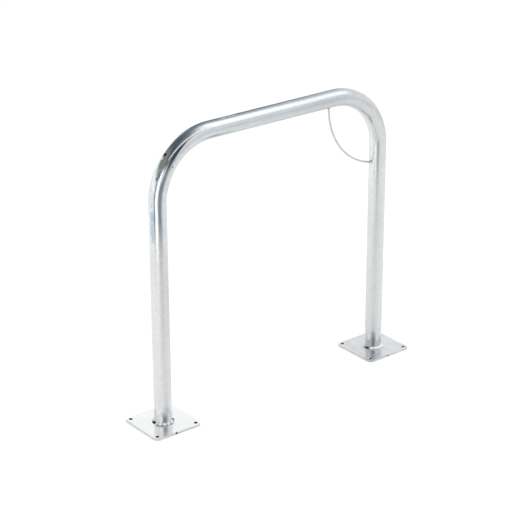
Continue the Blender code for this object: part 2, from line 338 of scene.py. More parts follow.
def hoop_skin():
    """The whole tube wall: an outer and an inner grid, joined at both feet and round the vent.

    Round the vent each grid leaves out a square window. Rings in it go over from the square to a
    circle, the outer ones then dip round the rim, and the last ones meet inside the hole's wall.
    """
    rows, vent_row = tube_rows()
    around = np.arange(TUBE_SIDES) * 2 * math.pi / TUBE_SIDES - math.pi
    vent_column = TUBE_SIDES // 2
    along_grid, around_grid = np.meshgrid(rows, around, indexing="ij")
    along, turned = along_grid.ravel(), around_grid.ravel()
    quads = grid_quads(len(rows), TUBE_SIDES)
    row, column = quads[:, 0] // TUBE_SIDES, quads[:, 0] % TUBE_SIDES
    in_window = ((row >= vent_row - VENT_PATCH) & (row < vent_row + VENT_PATCH)
                 & (column >= vent_column - VENT_PATCH) & (column < vent_column + VENT_PATCH))
    quads = quads[~in_window]
    window = window_ring(vent_row, vent_column)
    vent_along = rows[vent_row]
    stretch = BEND_RADIUS / (BEND_RADIUS + TUBE_RADIUS)
    square = np.stack([(along[window] - vent_along) / stretch, turned[window] * TUBE_RADIUS],
                      axis=-1)
    direction = square / np.linalg.norm(square, axis=1)[:, None]
    rim_radius = VENT_RADIUS + VENT_RIM
    points, places, faces = [], [], []
    total = 0
    rings = {}
    for skin, depth in (("outer", 0.0), ("inner", TUBE_WALL)):
        point, place = tube_point(along, turned, np.full(len(along), depth))
        points.append(point)
        places.append(place)
        faces.append(total + (quads if skin == "outer" else quads[:, ::-1]))
        left_foot = total + np.arange(TUBE_SIDES)
        ring = total + window
        total += len(along)
        right_foot = total - TUBE_SIDES + np.arange(TUBE_SIDES)
        circles = [(0.5, rim_radius, depth), (1.0, rim_radius, depth)]
        if skin == "outer":
            circles += [(1.0, VENT_RADIUS + VENT_SHOULDER, VENT_SHOULDER),
                        (1.0, VENT_RADIUS, VENT_RIM)]
        else:
            circles += [(1.0, VENT_RADIUS, depth)]
        for share, radius, sunk in circles:
            flat = square * (1 - share) + direction * radius * share
            point, place = tube_point(vent_along + flat[:, 0] * stretch,
                                      flat[:, 1] / TUBE_RADIUS, np.full(len(flat), sunk))
            points.append(point)
            places.append(place)
            fresh = total + np.arange(len(flat))
            faces.append(band(fresh, ring) if skin == "outer" else band(ring, fresh))
            ring = fresh
            total += len(flat)
        rings[skin] = ring, left_foot, right_foot
    outer, inner = rings["outer"], rings["inner"]
    faces += [band(inner[0], outer[0]), band(inner[1], outer[1]), band(outer[2], inner[2])]
    return mesh_piece("tube_skin", np.concatenate(points), np.concatenate(faces),
                      straightened=np.concatenate(places))


def zinc_pimple():
    """A low dome on the left bend, with its underside sunk in the tube's wall.

    Across the dome the rise is (1 - r squared) squared of its height, r from 0 at the top to 1 at
    the rim. The last ring goes straight down, so the dome is closed below.
    """
    shares = np.append(np.linspace(PIMPLE_FIRST_RING, 1, PIMPLE_RINGS), PIMPLE_ROOT)
    turn, share = np.meshgrid(np.arange(PIMPLE_SIDES) * 2 * math.pi / PIMPLE_SIDES, shares)
    rise = PIMPLE_RISE * (1 - share ** 2) ** 2
    rise[-1] = -PIMPLE_RISE
    along = LEG_RUN + BEND_RADIUS * PIMPLE_BEND_ANGLE + PIMPLE_RADIUS * share * np.cos(turn)
    around = PIMPLE_AROUND + PIMPLE_RADIUS * share * np.sin(turn) / TUBE_RADIUS
    rings, _ = tube_point(along, around, -rise)
    return closed_sweep("zinc_pimple", rings)


def foot_bead(name, foot_x, middle, swell):
    """A fillet bead round a tube's foot, from one end of its drain slot to the other.

    The section is a quarter of a superellipse from the plate up to the tube: outwards = reach
    times cos to a power, upwards = rise times sin to the same power, tucked in a little where it
    meets the plate. Along the bead the section swells in slow lumps, shrinks to a round nose at
    both ends, and carries a ripple |cos| whose crescents trail at the bead's two edges. The
    material reads a point's height, its place on a lump and how lumpy the bead is.
    """
    half_span = math.pi / 2 - math.asin((SLOT_WIDTH / 2 + BEAD_END_GAP) / TUBE_RADIUS)
    turn, across = np.meshgrid(np.linspace(-half_span, half_span, BEAD_ROWS),
                               np.linspace(0, 1, BEAD_FACE), indexing="ij")
    angle = middle + turn
    run = angle * TUBE_RADIUS
    from_end = (half_span - abs(turn)) * TUBE_RADIUS
    nose = np.sqrt(1 - (1 - np.clip(from_end / BEAD_REACH, 0, 1)) ** 2)
    lump = np.cos((angle - FIRST_LUMP) * 2 * math.pi / LUMP_TURN)
    drift = sum(height * np.sin(run * pitch + start) for height, pitch, start in BEAD_DRIFT)
    size = (BEAD_NOSE + (1 - BEAD_NOSE) * nose) * (1 + swell * lump + drift)
    reach, rise = BEAD_REACH * size, BEAD_RISE * size
    slant = across * math.pi / 2
    trail = RIPPLE_CRESCENT * (2 * across - 1) ** 2
    ripple = abs(np.cos(math.pi * (run + trail) / RIPPLE_PITCH)) - 0.5
    fine = RIPPLE_DEPTH * ripple * np.sin(math.pi * across) * nose
    tuck = BEAD_TUCK * np.clip(1 - across / BEAD_TUCK_SHARE, 0, 1) ** 2
    out = reach * (np.cos(slant) ** BEAD_ROUNDNESS - tuck) + fine * np.cos(slant)
    up = rise * np.sin(slant) ** BEAD_ROUNDNESS + fine * np.sin(slant)
    low = np.full(BEAD_ROWS, -BEAD_ROOT)
    out = np.column_stack([out, low, low, out[:, 0]])
    up = np.column_stack([up, up[:, -1], low, low])
    radius = TUBE_RADIUS + out
    angle = angle[:, :1]
    rings = np.stack([foot_x + radius * np.cos(angle), radius * np.sin(angle), PLATE_TOP + up],
                     axis=-1)
    lumpy = swell / LEFT_SWELL
    higher = np.broadcast_to(lump[:, :1] * lumpy, out.shape)
    places = np.stack([up / BEAD_RISE, higher, np.full(out.shape, lumpy)], axis=-1)
    return closed_sweep(name, rings[:, ::-1], places[:, ::-1])


def hole_rims(name, foot_x):
    """The raised zinc round a plate's four anchor holes: one small section turned about each."""
    turn = -np.arange(RIM_SIDES) * 2 * math.pi / RIM_SIDES
    radius, height = RIM_SECTION[:, 0], RIM_SECTION[:, 1]
    ring = np.stack([radius * np.cos(turn)[:, None], radius * np.sin(turn)[:, None],
                     np.broadcast_to(PLATE_TOP + height, (RIM_SIDES, len(radius)))], axis=-1)
    corners = np.array([(foot_x + beside * HOLE_REACH, before * HOLE_REACH, 0)
                        for beside in (-1, 1) for before in (-1, 1)])
    return ring_sweep(name, corners[:, None, None] + ring)


def loop_arc():
    """Radius, swept angle and centre of the rod's arc, which leaves the rail square.

    The centre is level with the rail's underside. From the arc's width a and depth b the radius is
    (a squared + b squared) / (2 a).
    """
    width = BEND_RADIUS + LOOP_RAIL_SETBACK - TUBE_RADIUS
    depth = BEND_RADIUS + LOOP_LEG_SETBACK - TUBE_RADIUS
    radius = (width ** 2 + depth ** 2) / (2 * width)
    centre = np.array([LEG_X - TUBE_RADIUS - width + radius, 0, RAIL_Z - TUBE_RADIUS])
    return radius, math.acos((radius - width) / radius), centre


def rod_eye():
    """The round rod along its arc, with both ends run on a little into the tube.

    A point is the arc's centre plus (arc radius + rod radius cos around) outwards, plus rod radius
    sin around sideways. The zinc on it thickens and thins by slow waves.
    """
    arc_radius, sweep, centre = loop_arc()
    past = ROD_RUN_IN / arc_radius
    turn, around = np.meshgrid(np.linspace(-past, sweep + past, ROD_ROWS),
                               np.arange(ROD_SIDES) * 2 * math.pi / ROD_SIDES, indexing="ij")
    wave = sum(height * np.sin(turn * along + around * across + start)
               for height, along, across, start in ROD_WAVES)
    radius = ROD_RADIUS * (ROD_COAT_SHARE + wave)
    reach = arc_radius + radius * np.cos(around)
    rings = centre + np.stack([-reach * np.cos(turn), radius * np.sin(around),
                               -reach * np.sin(turn)], axis=-1)
    return closed_sweep("rod_eye", rings)


def weld_collar(name, place, along_rod, off_tube, axis_point, lumps):
    """The lumpy ring of weld where an end of the rod meets the tube.

    Round the rod the section is a quarter of a superellipse from the tube to the rod, and each of
    its points is moved along the rod until its foot lies on the tube's round skin. Its size swells
    and shrinks round the rod in a few lumps. Along_rod leads away from the tube, off_tube straight
    out of its skin, and axis_point lies on its axis.
    """
    side = np.array([0.0, 1.0, 0.0])
    second = np.cross(along_rod, side)
    turn, across = np.meshgrid(np.arange(COLLAR_SIDES) * 2 * math.pi / COLLAR_SIDES,
                               np.linspace(0, 1, COLLAR_FACE), indexing="ij")
    size = COLLAR_LEG * (1 + COLLAR_SWELL * np.sin(lumps * turn + 1)
                         + COLLAR_RIPPLE * np.sin((2 * lumps + 1) * turn))
    slant = across * math.pi / 2
    out = ROD_RADIUS + size * np.cos(slant) ** COLLAR_ROUNDNESS
    up = size * np.sin(slant) ** COLLAR_ROUNDNESS
    inner = np.full(COLLAR_SIDES, COLLAR_INNER)
    low = np.full(COLLAR_SIDES, -BEAD_ROOT)
    out = np.column_stack([out, inner, inner, out[:, 0]])
    up = np.column_stack([up, up[:, -1], low, low])
    turn = turn[:, :1]
    sideways = out * np.sin(turn)
    flat = place + (out * np.cos(turn))[..., None] * second + sideways[..., None] * side
    skin = np.sqrt(TUBE_RADIUS ** 2 - sideways ** 2)
    shift = (skin - (flat - axis_point) @ off_tube) / (along_rod @ off_tube)
    rings = flat + (shift + up)[..., None] * along_rod
    return ring_sweep(name, rings[None])


class Number:
    """A shader value written into plain sums, where each operator adds one Math node."""

    def __init__(self, paint, socket):
        self.paint = paint
        self.socket = socket

    def math(self, operation, *values):
        settings = {"operation": operation}
        made = self.paint.node("ShaderNodeMath", settings, dict(enumerate(values)))
        return Number(self.paint, made.outputs[0])

    def __add__(self, other):
        return self.math("ADD", self, other)

    def __radd__(self, other):
        return self.math("ADD", other, self)

    def __sub__(self, other):
        return self.math("SUBTRACT", self, other)

    def __rsub__(self, other):
        return self.math("SUBTRACT", other, self)

    def __mul__(self, other):
        return self.math("MULTIPLY", self, other)

    def __rmul__(self, other):
        return self.math("MULTIPLY", other, self)

    def __truediv__(self, other):
        return self.math("DIVIDE", self, other)

    def __pow__(self, other):
        return self.math("POWER", self, other)

    def __abs__(self):
        return self.math("ABSOLUTE", self)

    def at_most(self, other):
        return self.math("MINIMUM", self, other)

    def at_least(self, other):
        return self.math("MAXIMUM", self, other)


class Paint:
    """A material's or the world's nodes."""

    def __init__(self, holder):
        holder.use_nodes = True
        self.tree = holder.node_tree
        self.tree.nodes.clear()

    def node(self, kind, settings, values):
        """A node with its settings made first, then its sockets given values or linked."""
        made = self.tree.nodes.new(kind)
        for name, setting in settings.items():
            setattr(made, name, setting)
        for name, value in values.items():
            self.feed(made.inputs[name], value)
        return made

    def feed(self, socket, value):
        if isinstance(value, Number):
            value = value.socket
        if isinstance(value, bpy.types.NodeSocket):
            self.tree.links.new(value, socket)
        else:
            socket.default_value = value

    def number(self, socket):
        return Number(self, socket)

    def vector(self, operation, *values):
        made = self.node("ShaderNodeVectorMath", {"operation": operation}, dict(enumerate(values)))
        return made.outputs["Vector"]

    def distance(self, place, point):
        made = self.node("ShaderNodeVectorMath", {"operation": "DISTANCE"}, {0: place, 1: point})
        return self.number(made.outputs["Value"])

    def split(self, vector):
        parts = self.node("ShaderNodeSeparateXYZ", {}, {"Vector": vector}).outputs
        return [self.number(part) for part in parts]

    def mix(self, share, first, second):
        """A colour between two colours."""
        made = self.node("ShaderNodeMix", {"data_type": "RGBA"}, {"Factor": share})
        self.feed(made.inputs[6], first)
        self.feed(made.inputs[7], second)
        return made.outputs[2]

    def step(self, value, low, high):
        """0 below low and 1 above high, smooth between; turned round where low is the larger."""
        settings = {"interpolation_type": "SMOOTHSTEP"}
        values = {"Value": value, "From Min": low, "From Max": high}
        made = self.node("ShaderNodeMapRange", settings, values)
        return self.number(made.outputs["Result"])

    def object_place(self):
        """Where a point lies on the stand."""
        return self.node("ShaderNodeTexCoord", {}, {}).outputs["Object"]

    def straightened(self):
        """The three values that the piece's mesh gives at each point."""
        settings = {"attribute_name": "straightened"}
        return self.node("ShaderNodeAttribute", settings, {}).outputs["Vector"]

    def noise(self, vector, scale, detail=3.0, roughness=0.55):
        values = {"Vector": vector, "Scale": scale, "Detail": detail, "Roughness": roughness}
        return self.number(self.node("ShaderNodeTexNoise", {}, values).outputs[0])

    def cells(self, vector, scale):
        """Spangle: the shade of a random crystal, from 0 to 1."""
        made = self.node("ShaderNodeTexVoronoi", {}, {"Vector": vector, "Scale": scale})
        return self.split(made.outputs["Color"])[0]

    def bump(self, height, distance, strength):
        values = {"Height": height, "Distance": distance, "Strength": strength}
        return self.node("ShaderNodeBump", {}, values).outputs["Normal"]

    def finish(self, **values):
        """The material's one Principled shader; names are its sockets, with _ for a space."""
        sockets = {name.replace("_", " "): value for name, value in values.items()}
        shader = self.node("ShaderNodeBsdfPrincipled", {}, sockets)
        self.node("ShaderNodeOutputMaterial", {}, {"Surface": shader.outputs["BSDF"]})


def new_paint(name):
    material = bpy.data.materials.new(name)
    return material, Paint(material)


def tube_mark(paint, place, ragged, mark):
    """1 inside an oval on the tube's outer skin, and 0 outside; a ragged value moves its border.

    The mark gives its run length, its angle from the hoop's outer side to the front, and the
    oval's width and length.
    """
    along, around, width, length = mark
    out, front = TUBE_RADIUS * math.cos(around), TUBE_RADIUS * math.sin(around)
    drawn = paint.vector("MULTIPLY", place, (1.0, 1.0, width / length))
    far = paint.distance(drawn, (out, front, along * width / length)) / (width / 2)
    return paint.step(far + ragged, 1 + MARK_SOFTNESS, 1 - MARK_SOFTNESS)


def tube_zinc():
    """The tube's coat: bright where it drained hot over the bends, dull and pale down the legs.

    On it lie the marks listed above: stain, scuff, flux, speck, painted shade round the vent, and
    the vent's splash. The bore inside the wall is painted black as shade.
    """
    material, paint = new_paint("tube_zinc")
    place = paint.straightened()
    out, front, along = paint.split(place)
    drawn = paint.vector("MULTIPLY", place, (1.0, 1.0, 0.18))
    streaked = paint.vector("MULTIPLY", place, (1.0, 1.0, 0.03))
    cloud = paint.noise(drawn, 38.0)
    blotch = paint.noise(place, 60.0, 4.0)
    streak = paint.noise(streaked, 260.0, 2.0)
    fleck = paint.noise(place, 520.0, 2.0) - 0.5
    grain = paint.noise(place, 900.0, 2.0)
    spangle = paint.cells(place, 130.0)
    edge = along + (blotch - 0.5) * 0.08
    from_right = WHOLE_RUN - edge
    from_foot = along.at_most(WHOLE_RUN - along) + (blotch - 0.5) * 0.016
    foot_gloss = paint.step(from_foot, *FOOT_BRIGHTENS)
    top_gloss = (paint.step(edge, *LEFT_LEG_BRIGHTENS)
                 * paint.step(from_right, *RIGHT_LEG_BRIGHTENS))
    satin = paint.step(edge, *RAIL_TURNS_SATIN)
    before_leg = paint.step(edge, *RIGHT_LEG_PALES)
    calm = 1 - 0.6 * paint.step(edge, *RAIL_CLEARS) * before_leg
    shade = top_gloss * before_leg
    gloss = (top_gloss * (1 - 0.40 * satin) + foot_gloss).at_most(1.0)
    dull = 1 - gloss
    tone = (0.5 + (cloud - 0.5) * 0.8 + (streak - 0.5) * 0.5
            + ((spangle - 0.5) * 0.42 + fleck * 0.6) * calm)
    pale = paint.mix(tone, (0.79, 0.795, 0.79, 1), (0.92, 0.92, 0.91, 1))
    bright = paint.mix(tone, (0.67, 0.705, 0.72, 1), (0.90, 0.92, 0.93, 1))
    # Along the rail the colour turns greyer: partly the zinc's own tone, partly a painted
    # reflection of the darker surroundings it mirrors
    greyer = paint.mix(tone, (0.55, 0.59, 0.62, 1), (0.83, 0.85, 0.86, 1))
    heated = paint.mix(tone, (0.73, 0.76, 0.78, 1), (0.90, 0.91, 0.92, 1))
    colour = paint.mix(shade, pale, paint.mix(satin, bright, greyer))
    colour = paint.mix(foot_gloss, colour, heated)
    stain = tube_mark(paint, place, (blotch - 0.5) * 1.8, STAIN) * (0.45 + spangle * 0.5)
    colour = paint.mix(stain, colour, (0.41, 0.53, 0.63, 1))
    scuff = tube_mark(paint, place, fleck * 3.0, SCUFF)
    scraped = paint.mix(spangle, (0.26, 0.27, 0.29, 1), (0.62, 0.63, 0.65, 1))
    colour = paint.mix(scuff * 0.9, colour, scraped)
    flux = tube_mark(paint, place, fleck * 5.0, FLUX)
    dark_coat = paint.mix(spangle, (0.03, 0.05, 0.07, 1), (0.30, 0.45, 0.55, 1))
    colour = paint.mix(flux, colour, dark_coat)
    speck = tube_mark(paint, place, fleck, SPECK)
    # Painted shade: the bore and a ring round the vent are painted black, along with the real speck
    bore_shade = paint.step((out ** 2 + front ** 2) ** 0.5, *BORE_PAINTED_SHADE)
    vent_shade = tube_mark(paint, place, fleck * 0.6, VENT_PAINTED_SHADE)
    speck_and_painted_shade = (speck + bore_shade + vent_shade).at_most(1.0)
    colour = paint.mix(speck_and_painted_shade, colour, (0.01, 0.01, 0.01, 1))
    splash = tube_mark(paint, place, fleck, SPLASH)
    colour = paint.mix(splash, colour, (0.97, 0.97, 0.97, 1))
    matt = (flux * 0.8 + scuff * 0.6 + speck_and_painted_shade + splash).at_most(1.0)
    rough = (0.13 + foot_gloss * 0.06 + dull * 0.22 + (cloud - 0.5) * 0.10 + (blotch - 0.5) * 0.06
             + matt * 0.5)
    metal = (1.0 - dull * 0.42) * (1 - matt)
    relief = grain * 0.25 + streak * 0.4 + (blotch + spangle * 0.15) * calm
    normal = paint.bump(relief, 0.0006, 0.10)
    paint.finish(Base_Color=colour, Metallic=metal, Roughness=rough, Normal=normal)
    return material


def plate_zinc(name, foot_x, dark, light, nick, slot):
    """A plate's coat: brushed one way before dipping, clouded, with painted shade inside its holes.

    Dark and light are the ends of its tone; their level is painted light and shade for how the
    plate is lit. Nick and slot are painted shade colours of the lead-in nick in its front edge and
    of the drain slot under the tube.
    """
    material, paint = new_paint(name)
    place = paint.object_place()
    x, y, z = paint.split(place)
    brushed = paint.vector("MULTIPLY", place, (1.0, 0.04, 1.0))
    brush = paint.noise(brushed, 420.0, 3.0, 0.7)
    streak = paint.noise(brushed, 130.0, 2.0)
    cloud = paint.noise(place, 42.0, 4.0)
    grain = paint.noise(place, 1100.0, 2.0)
    spangle = paint.cells(place, 150.0)
    beside, depth = abs(abs(x) - LEG_X), abs(y)
    to_hole = ((beside - HOLE_REACH) ** 2 + (depth - HOLE_REACH) ** 2) ** 0.5
    to_leg = (beside ** 2 + depth ** 2) ** 0.5
    in_slot = paint.step(to_leg, *SLOT_EDGE)
    cut = (paint.step(to_hole, *HOLE_EDGE) + in_slot).at_most(1.0)
    below = paint.step(z, *SIDE_EDGE)
    # The walls of the holes and the slot take painted shade
    inside, side = cut * below, (1 - cut) * below
    tone = (0.5 + (cloud - 0.5) * 0.8 + (brush - 0.5) * 0.5 + (streak - 0.5) * 1.1
            + (spangle - 0.5) * 0.12)
    top = paint.mix(tone, dark, light)
    sawn = paint.mix(tone, (0.74, 0.74, 0.73, 1), (0.90, 0.90, 0.89, 1))
    painted_cut_shade = paint.mix(in_slot, PAINTED_HOLLOW_SHADE, slot)
    colour = paint.mix(inside, paint.mix(side, top, sawn), painted_cut_shade)
    # The nick in the front edge takes a painted shade colour
    to_nick = ((x - foot_x + NICK_OFFSET) ** 2 + (y + PLATE_HALF) ** 2) ** 0.5
    colour = paint.mix(paint.step(to_nick, *NICK_EDGE), colour, nick)
    rough = 0.25 + (cloud - 0.5) * 0.12 + (brush - 0.5) * 0.08 + inside * 0.4 + side * 0.25
    metal = 0.80 * (1 - inside) * (1 - 0.6 * side)
    normal = paint.bump(brush * 0.6 + grain * 0.2 + cloud, 0.0005, 0.08)
    paint.finish(Base_Color=colour, Metallic=metal, Roughness=rough, Normal=normal)
    return material


def rim_zinc():
    """The zinc round the anchor holes: bright on top, with painted shade down in the hole."""
    material, paint = new_paint("rim_zinc")
    place = paint.object_place()
    _, _, z = paint.split(place)
    cloud = paint.noise(place, 260.0, 3.0)
    # Down in the bore the zinc is painted dark as shade
    down = paint.step(z, *RIM_BORE_SHADE_EDGE)
    coat = paint.mix(cloud, (0.84, 0.84, 0.84, 1), (0.95, 0.95, 0.95, 1))
    colour = paint.mix(down, coat, PAINTED_HOLLOW_SHADE)
    normal = paint.bump(cloud, 0.0004, 0.1)
    paint.finish(Base_Color=colour, Metallic=0.8 * (1 - down), Roughness=0.28 + down * 0.5,
                 Normal=normal)
    return material


def bead_zinc():
    """The foot beads' coat: white on lumps, painted shade between them and in spots at the root."""
    material, paint = new_paint("bead_zinc")
    place = paint.object_place()
    height, lump, share = paint.split(paint.straightened())
    cloud = paint.noise(place, 210.0, 3.0)
    grain = paint.noise(place, 1500.0, 2.0)
    # Painted shade: the valleys between lumps and spots along the root by the plate are darkened
    valley_shade = paint.step(lump + (cloud - 0.5) * 1.2, -0.1, -0.9)
    root = paint.step(height + (cloud - 0.5) * 0.35, 0.34, 0.10) * share
    patch = paint.step(paint.noise(place, 30.0, 1.0), 0.40, 0.55)
    painted_crease_shade = (valley_shade * 0.5 + root * patch).at_most(1.0)
    coat = paint.mix(cloud, (0.97, 0.97, 0.98, 1), (1.0, 1.0, 1.0, 1))
    colour = paint.mix(painted_crease_shade, coat, (0.12, 0.12, 0.12, 1))
    normal = paint.bump(grain * 0.4 + cloud, 0.0006, 0.15)
    paint.finish(Base_Color=colour, Metallic=0.06, Roughness=0.22 + painted_crease_shade * 0.4,
                 Specular_IOR_Level=0.8, Normal=normal)
    return material


def lumpy_zinc(name, dark, light, roughness):
    """Zinc on welds and rod: clouded, with fine grain."""
    material, paint = new_paint(name)
    place = paint.object_place()
    cloud = paint.noise(place, 150.0, 3.0)
    grain = paint.noise(place, 1500.0, 2.0)
    tone = 0.5 + (cloud - 0.5) * 1.2 + (grain - 0.5) * 0.2
    normal = paint.bump(grain * 0.4 + cloud, 0.0005, 0.12)
    paint.finish(Base_Color=paint.mix(tone, dark, light), Metallic=0.9,
                 Roughness=roughness + (cloud - 0.5) * 0.15, Normal=normal)
    return material


def ray_kinds(paint):
    """1 for rays from the camera, and 1 for mirrored or refracted ones."""
    light = paint.node("ShaderNodeLightPath", {}, {}).outputs
    camera, glossy, clear = (paint.number(light[name]) for name in
                             ("Is Camera Ray", "Is Glossy Ray", "Is Transmission Ray"))
    return camera, (glossy + clear).at_most(1.0)


def floor_white():
    """Pale floor, lit a little from within as the background is, and painted shade under the
    plates.

    Mirrored rays see more of that light behind and to the left, where the backdrop is lit, and see
    a painted shadow on the floor just before each foot.
    """
    material, paint = new_paint("floor_white")
    place = paint.node("ShaderNodeNewGeometry", {}, {}).outputs["Position"]
    x, y, _ = paint.split(place)
    straight = PLATE_HALF - PLATE_CORNER_RADIUS
    beside = (abs(abs(x) - LEG_X) - straight).at_least(0.0)
    before = (abs(y) - straight).at_least(0.0)
    beyond = (beside ** 2 + before ** 2) ** 0.5
    open_floor = paint.step(beyond, *PLATE_SHADE_EDGE)
    # Painted shade on the floor under the plates, seen through their holes and slots
    colour = paint.mix(open_floor, PAINTED_HOLLOW_SHADE, (0.82, 0.82, 0.82, 1))
    camera, mirrored = ray_kinds(paint)
    # Painted shadow on the floor before each foot, seen only by mirrored rays
    left_painted_shadow = paint.step(paint.distance(place, LEFT_PAINTED_SHADOW), *LEFT_SHADOW_EDGE) * LEFT_SHADOW_SHARE
    right_painted_shadow = paint.step(paint.distance(place, RIGHT_PAINTED_SHADOW), *RIGHT_SHADOW_EDGE)
    dusky = left_painted_shadow.at_least(right_painted_shadow) * mirrored * open_floor
    colour = paint.mix(dusky, colour, (0.24, 0.26, 0.29, 1))
    lit_left = 0.45 + 0.43 * paint.step(x, 0.2, -0.9)
    lit_side = paint.step(y * 0.8 - x * 0.6, -0.25, 0.45) * lit_left
    share = (camera + mirrored * (0.12 + lit_side)) * open_floor * (1 - dusky)
    glow = paint.mix(share, (0, 0, 0, 1), (0.36, 0.36, 0.36, 1))
    paint.finish(Base_Color=colour, Roughness=0.9, Specular_IOR_Level=0.0,
                 Emission_Color=glow, Emission_Strength=1.0)
    return material


def set_world():
    """Even grey daylight for the lit surfaces, and for direct views the studio's backdrop.

    The camera sees it white, and the metal mirrors it brighter behind and to the left.
    """
    world = bpy.data.worlds.new("studio")
    bpy.context.scene.world = world
    paint = Paint(world)
    x, y, _ = paint.split(paint.node("ShaderNodeTexCoord", {}, {}).outputs["Generated"])
    camera, mirrored = ray_kinds(paint)
    lit_side = paint.step(y * 0.85 - x * 0.5, -0.3, 0.5)
    backdrop = paint.mix(lit_side, (0.79, 0.80, 0.82, 1), (1.12, 1.14, 1.15, 1))
    colour = paint.mix(mirrored, (0.76, 0.77, 0.78, 1), backdrop)
    colour = paint.mix(camera, colour, (1, 1, 1, 1))
    light = paint.node("ShaderNodeBackground", {}, {"Color": colour, "Strength": 1.0})
    paint.node("ShaderNodeOutputWorld", {}, {"Surface": light.outputs["Background"]})


def link_stage(item):
    """Adds something that belongs to the studio and not to the stand."""
    bpy.context.scene.collection.objects.link(item)
    return item


def flat_mesh(name, material):
    """A square of side 2 on the X-Y plane."""
    mesh = bpy.data.meshes.new(name)
    mesh.from_pydata([(-1, -1, 0), (1, -1, 0), (1, 1, 0), (-1, 1, 0)], [], [(0, 1, 2, 3)])
    mesh.materials.append(material)
    return mesh


def facing(place, target, axis):
    """A matrix at a place whose given axis looks at a target, upright."""
    away = Vector(target) - Vector(place)
    return Matrix.Translation(place) @ away.to_track_quat(axis, "Y").to_matrix().to_4x4()


def make_floor():
    """A wide floor just under the plates."""
    floor = bpy.data.objects.new("floor", flat_mesh("floor", floor_white()))
    floor.matrix_world = (Matrix.Translation((0, 0, -FLOOR_DROP))
                          @ Matrix.Diagonal((FLOOR_HALF, FLOOR_HALF, 1, 1)))
    link_stage(floor)


def hang(name, mesh, paint, share, glow):
    """Hangs a glowing surface, clear where its share is 0, that only mirrored rays see."""
    light = paint.node("ShaderNodeEmission", {}, {"Color": glow, "Strength": 1.0})
    clear = paint.node("ShaderNodeBsdfTransparent", {}, {})
    shaders = {"Fac": share, 1: clear.outputs[0], 2: light.outputs[0]}
    mixed = paint.node("ShaderNodeMixShader", {}, shaders)
    paint.node("ShaderNodeOutputMaterial", {}, {"Surface": mixed.outputs[0]})
    item = bpy.data.objects.new(name, mesh)
    item.visible_camera = item.visible_diffuse = item.visible_shadow = False
    item.visible_transmission = item.visible_volume_scatter = False
    return link_stage(item)


def studio_card(name, place, target, size, level, fade):
    """A card or panel of the studio, facing a target.

    It fades out towards its left, right, lower and upper edge, as seen from the stand, each over a
    share of its half size.
    """
    material, paint = new_paint(name)
    x, y, _ = paint.split(paint.object_place())
    left, right, low, high = fade
    share = (paint.step(x, -1, left - 1) * paint.step(x, 1, 1 - right)
             * paint.step(y, -1, low - 1) * paint.step(y, 1, 1 - high))
    card = hang(name, flat_mesh(name, material), paint, share, (*level, 1))
    half_size = Matrix.Diagonal((size[0] / 2, size[1] / 2, 1, 1))
    card.matrix_world = facing(place, target, "Z") @ half_size


def foot_card(name, foot_x, turn, width, level, sides):
    """A small card before a foot, in a direction counted clockwise from +Y.

    It slopes down and away from the foot as steeply as the camera looks down, so the tube mirrors
    it edge-on, and it shows only by way of the plate.
    """
    way = Vector((math.sin(turn), math.cos(turn), 0))
    place = Vector((foot_x, 0, FOOT_CARD_HEIGHT)) + way * FOOT_CARD_DISTANCE
    below = Vector((0, 0, -math.cos(CAMERA_PITCH))) - way * math.sin(CAMERA_PITCH)
    studio_card(name, place, place + below, (width, FOOT_CARD_LENGTH), level,
                (*sides, *FOOT_CARD_FADES))


def studio_dome():
    """The dusky room over the backdrop, as a dome: olive at the left, bluish at the right.

    A point is the dome's radius times (cos up sin turn, cos up cos turn, sin up).
    """
    turn, up = np.meshgrid(np.arange(DOME_SIDES) * 2 * math.pi / DOME_SIDES,
                           np.linspace(0, math.pi / 2, DOME_RINGS))
    points = DOME_RADIUS * np.stack([np.cos(up) * np.sin(turn), np.cos(up) * np.cos(turn),
                                     np.sin(up)], axis=-1)
    material, paint = new_paint("studio_dome")
    mesh = bpy.data.meshes.new("studio_dome")
    mesh.from_pydata(points.reshape(-1, 3).tolist(), [], grid_quads(*turn.shape).tolist())
    mesh.materials.append(material)
    x, y, z = paint.split(paint.object_place())
    right = paint.step(x, -1.0, 0.9)
    dusk = paint.step(z - 0.9 * right, 1.25, 2.1)
    sweep = x - 0.35 * y
    left = paint.mix(paint.step(sweep, -2.2, -1.5), (0.25, 0.255, 0.22, 1),
                     (0.09, 0.105, 0.125, 1))
    dusky = paint.mix(paint.step(sweep, -1.3, 1.3), left, (0.38, 0.42, 0.47, 1))
    hang("studio_dome", mesh, paint, dusk, dusky)


def make_lamp(name, place, target, side, strength):
    """A square soft lamp with a plain brightness: its power is strength times pi times its area."""
    light = bpy.data.lights.new(name, "AREA")
    light.shape = "SQUARE"
    light.size = side
    light.energy = strength * math.pi * side * side
    lamp = bpy.data.objects.new(name, light)
    lamp.matrix_world = facing(place, target, "-Z")
    lamp.visible_camera = lamp.visible_glossy = False
    bpy.context.scene.collection.objects.link(lamp)


def make_camera():
    """The camera: rolled, tilted and turned, then set at its place."""
    data = bpy.data.cameras.new("camera")
    data.sensor_width = SENSOR
    data.lens = FOCAL_PIXELS / PICTURE_SIDE * SENSOR
    data.clip_end = CAMERA_REACH
    camera = bpy.data.objects.new("camera", data)
    camera.matrix_world = (Matrix.Translation(CAMERA_PLACE) @ Matrix.Rotation(-CAMERA_PAN, 4, "Z")
                           @ Matrix.Rotation(math.pi / 2 - CAMERA_PITCH, 4, "X")
                           @ Matrix.Rotation(CAMERA_ROLL, 4, "Z"))
    bpy.context.scene.collection.objects.link(camera)
    bpy.context.scene.camera = camera


def dress(piece, material, slot, *replaced):
    """Gives a new piece its finish and hides the solids it stands for."""
    piece.data.materials.append(material)
    if replaced:
        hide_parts(*replaced)


